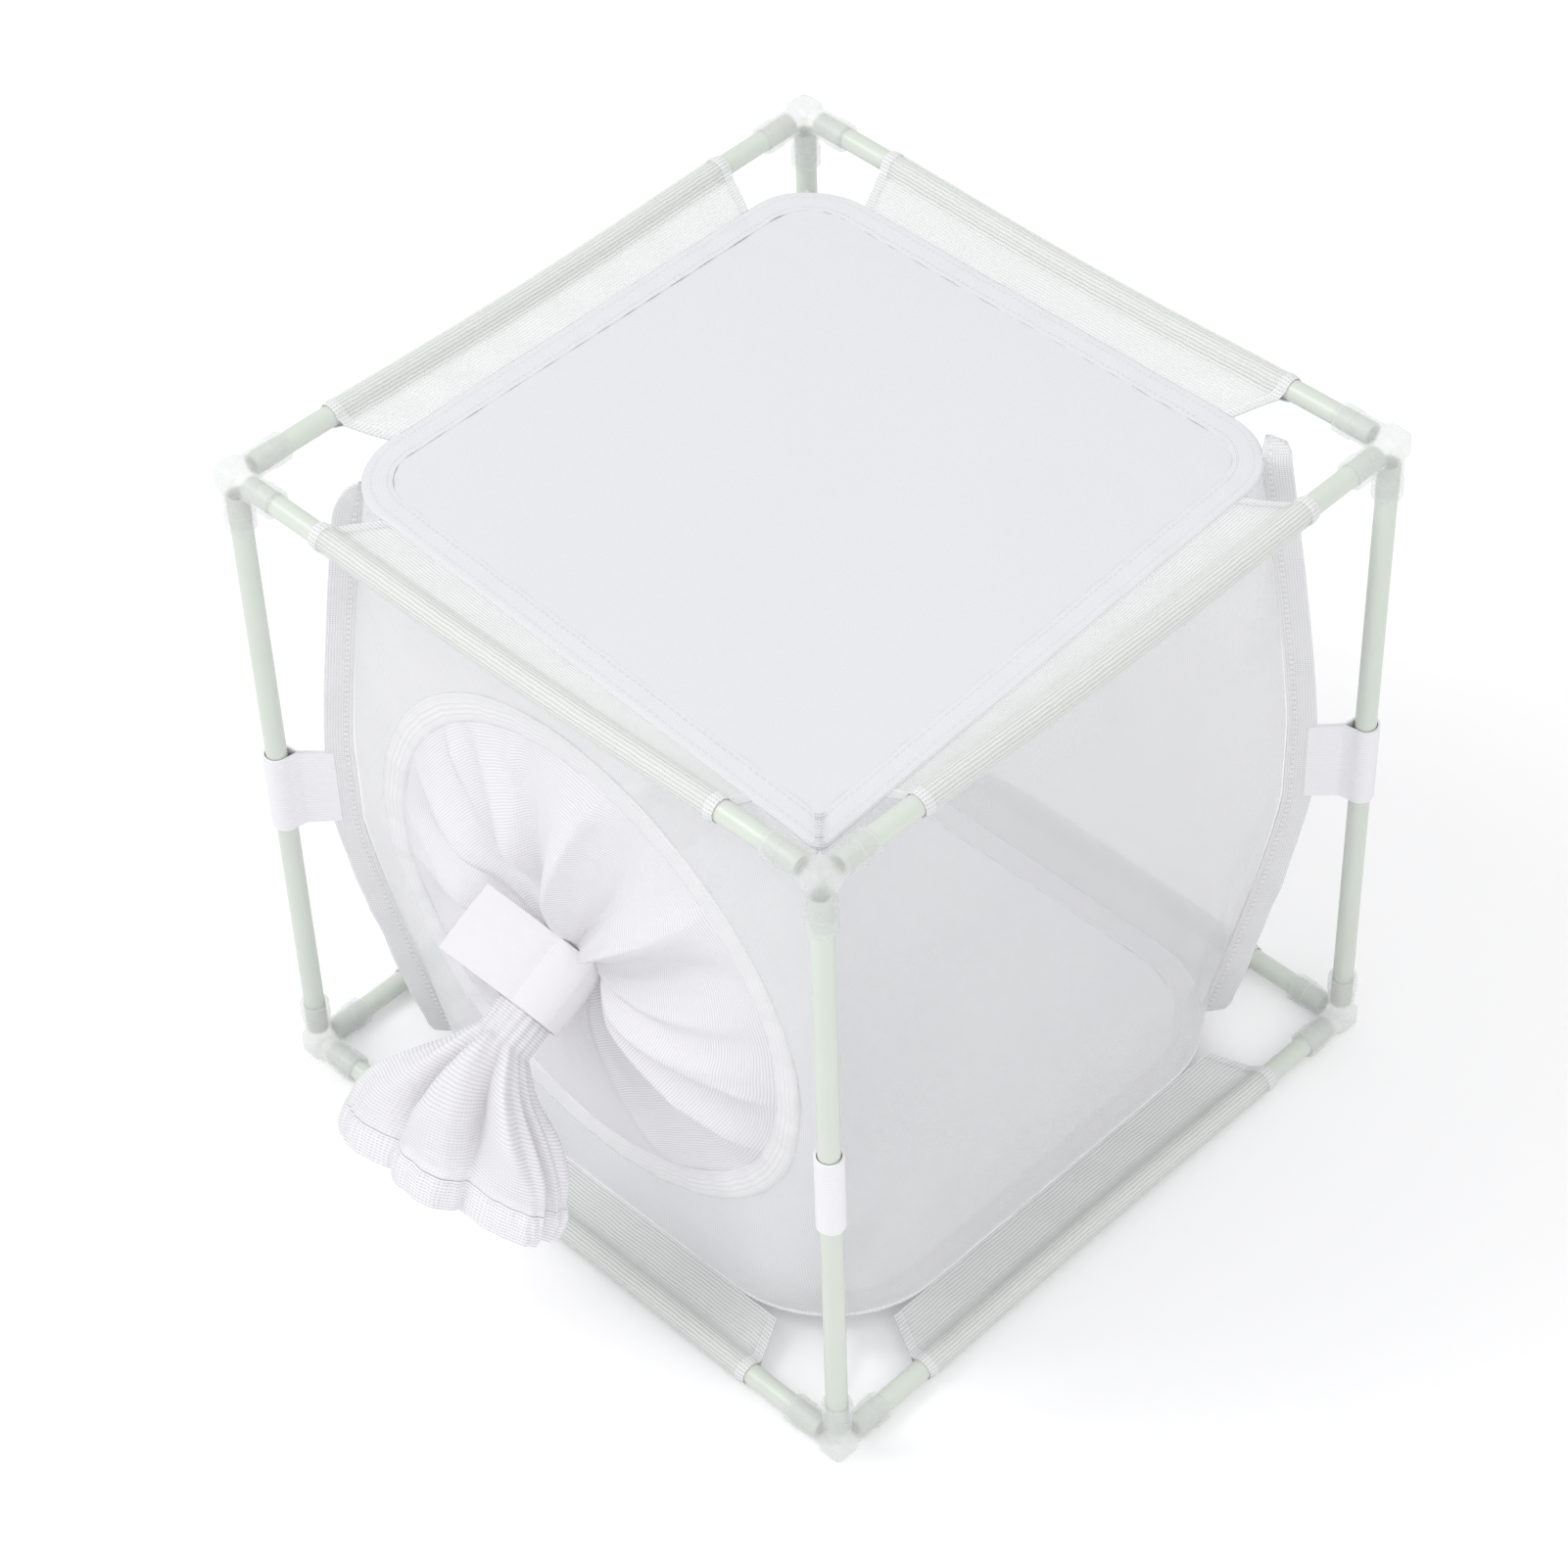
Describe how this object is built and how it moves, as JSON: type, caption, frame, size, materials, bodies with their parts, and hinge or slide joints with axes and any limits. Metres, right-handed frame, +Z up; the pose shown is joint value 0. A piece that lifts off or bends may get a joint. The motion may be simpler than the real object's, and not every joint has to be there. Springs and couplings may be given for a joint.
{
  "type": "mesh insect cage",
  "caption": "Cube frame of plastic rods in corner sockets holding a sewn mesh bag with a clear side window and a round port with a gathered, strap-tied sleeve.",
  "frame": {"origin": "on the surface that the cage stands on, under the middle of its bounding box", "axes": "+Z up, the port and its sleeve face -Y, the clear window faces +X"},
  "size_m": [0.3018, 0.3632, 0.3118],
  "materials": {
    "rod_plastic": "pale green, satin",
    "socket_plastic": "milky and translucent, smooth",
    "fine_mesh": "fine open mesh, white",
    "window_film": "clear flexible film",
    "pocket_mesh": "coarse ribbed mesh, white",
    "sleeve_mesh": "soft net, white",
    "top_fabric": "dense fine cloth, white",
    "tape_fabric": "stitched binding, white",
    "webbing": "flat woven webbing, white"
  },
  "bodies": {
    "root": {"socket_bottom_front_right": "socket_plastic", "socket_bottom_back_right": "socket_plastic", "socket_bottom_back_left": "socket_plastic", "socket_bottom_front_left": "socket_plastic", "socket_top_front_right": "socket_plastic", "socket_top_back_right": "socket_plastic", "socket_top_back_left": "socket_plastic", "socket_top_front_left": "socket_plastic", "rod_bottom_front": "rod_plastic", "rod_bottom_right": "rod_plastic", "rod_bottom_back": "rod_plastic", "rod_bottom_left": "rod_plastic", "rod_top_front": "rod_plastic", "rod_top_right": "rod_plastic", "rod_top_back": "rod_plastic", "rod_top_left": "rod_plastic", "post_front_right": "rod_plastic", "post_back_right": "rod_plastic", "post_back_left": "rod_plastic", "post_front_left": "rod_plastic", "pocket_bottom_front": "pocket_mesh", "pocket_bottom_right": "pocket_mesh", "pocket_bottom_back": "pocket_mesh", "pocket_bottom_left": "pocket_mesh", "pocket_top_front": "pocket_mesh", "pocket_top_right": "pocket_mesh", "pocket_top_back": "pocket_mesh", "pocket_top_left": "pocket_mesh", "post_loop_front_right": "webbing", "post_loop_back_right": "webbing", "post_loop_back_left": "webbing", "post_loop_front_left": "webbing", "corner_tape_front_right": "tape_fabric", "corner_tape_back_right": "tape_fabric", "corner_tape_back_left": "tape_fabric", "corner_tape_front_left": "tape_fabric", "front_wall": "fine_mesh", "window_right": "window_film", "back_wall": "fine_mesh", "left_wall": "fine_mesh", "top_panel": "top_fabric", "floor_panel": "top_fabric", "top_band": "tape_fabric", "floor_band": "tape_fabric", "port_ring": "tape_fabric", "sleeve_cone": "sleeve_mesh"},
    "sleeve": {"sleeve_neck": "sleeve_mesh", "tie_strap": "webbing"},
    "tab": {"strap_tab": "webbing"},
    "tail": {"sleeve_tail": "sleeve_mesh", "cuff": "sleeve_mesh"}
  },
  "joints": [
    {"name": "sleeve_swing", "type": "hinge", "parent": "root", "child": "sleeve", "pos_m": [0, -0.09687, 0.1539], "axis": [1, 0, 0], "range_deg": [-45, 20], "deforming": ["sleeve_cone"]},
    {"name": "cuff_sway", "type": "hinge", "parent": "sleeve", "child": "tail", "pos_m": [0, -0.13608, 0.13306], "axis": [0, -0.4695, 0.8829], "range_deg": [-25, 25]},
    {"name": "tab_peel", "type": "hinge", "parent": "sleeve", "child": "tab", "pos_m": [-0.0014, -0.1176, 0.15817], "axis": [0, 0.8829, 0.4695], "range_deg": [-10, 100]}
  ]
}
